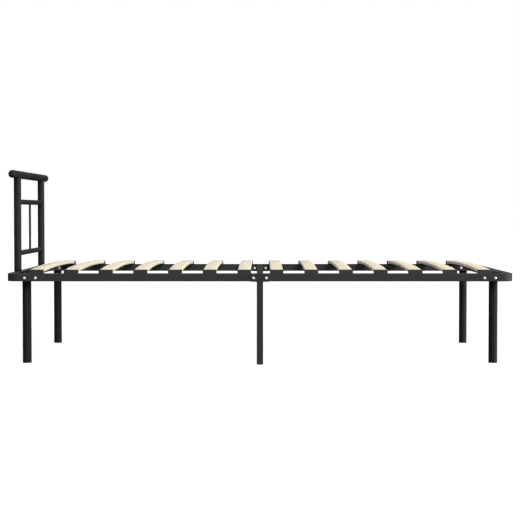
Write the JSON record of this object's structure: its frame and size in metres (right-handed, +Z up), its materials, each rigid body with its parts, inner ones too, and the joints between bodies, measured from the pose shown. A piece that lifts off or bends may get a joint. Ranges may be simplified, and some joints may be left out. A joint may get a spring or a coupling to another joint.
{
  "type": "bed frame",
  "caption": "Single metal bed frame: bent square-tube rails on round legs with a middle support, low tubular headboard and arched plywood slats in plastic holders.",
  "frame": {"origin": "on the floor, below the middle of the frame's outline", "axes": "+X along the bed from the head end to the foot end, +Y to the left side of a person lying in it, +Z up"},
  "size_m": [2.0354, 1.0496, 0.7821],
  "materials": {
    "black_steel": "satin black powder coat",
    "black_plastic": "moulded, fine matt grain",
    "plywood": "sanded bent plywood, plies showing on the long edges",
    "zinc_steel": "bright zinc plate"
  },
  "bodies": {
    "root": {"bracket_foot_left": "black_steel", "bracket_foot_right": "black_steel", "bracket_head_left": "black_steel", "bracket_head_right": "black_steel", "centre_bolts": "zinc_steel", "centre_crossbar": "black_steel", "centre_foot_left": "black_plastic", "centre_foot_right": "black_plastic", "centre_leg_left": "black_steel", "centre_leg_right": "black_steel", "centre_nuts": "zinc_steel", "centre_saddle_left": "black_steel", "centre_saddle_right": "black_steel", "corner_bolts": "zinc_steel", "corner_nuts": "zinc_steel", "foot_foot_left": "black_plastic", "foot_foot_right": "black_plastic", "foot_half_frame": "black_steel", "foot_head_left": "black_plastic", "foot_head_right": "black_plastic", "head_half_frame": "black_steel", "headboard_lower_bar": "black_steel", "headboard_post_left": "black_steel", "headboard_post_right": "black_steel", "headboard_spindle": "black_steel", "headboard_top_rail": "black_steel", "headboard_upper_bar": "black_steel", "holders_foot_left": "black_plastic", "holders_foot_right": "black_plastic", "holders_head_left": "black_plastic", "holders_head_right": "black_plastic", "leg_foot_left": "black_steel", "leg_foot_right": "black_steel", "leg_head_left": "black_steel", "leg_head_right": "black_steel", "post_screws": "zinc_steel", "post_spigots": "black_steel", "slat_01": "plywood", "slat_02": "plywood", "slat_03": "plywood", "slat_04": "plywood", "slat_05": "plywood", "slat_06": "plywood", "slat_07": "plywood", "slat_08": "plywood", "slat_09": "plywood", "slat_10": "plywood", "slat_11": "plywood", "slat_12": "plywood", "slat_13": "plywood", "slat_14": "plywood", "top_rail_cap_left": "black_plastic", "top_rail_cap_right": "black_plastic"}
  },
  "joints": []
}
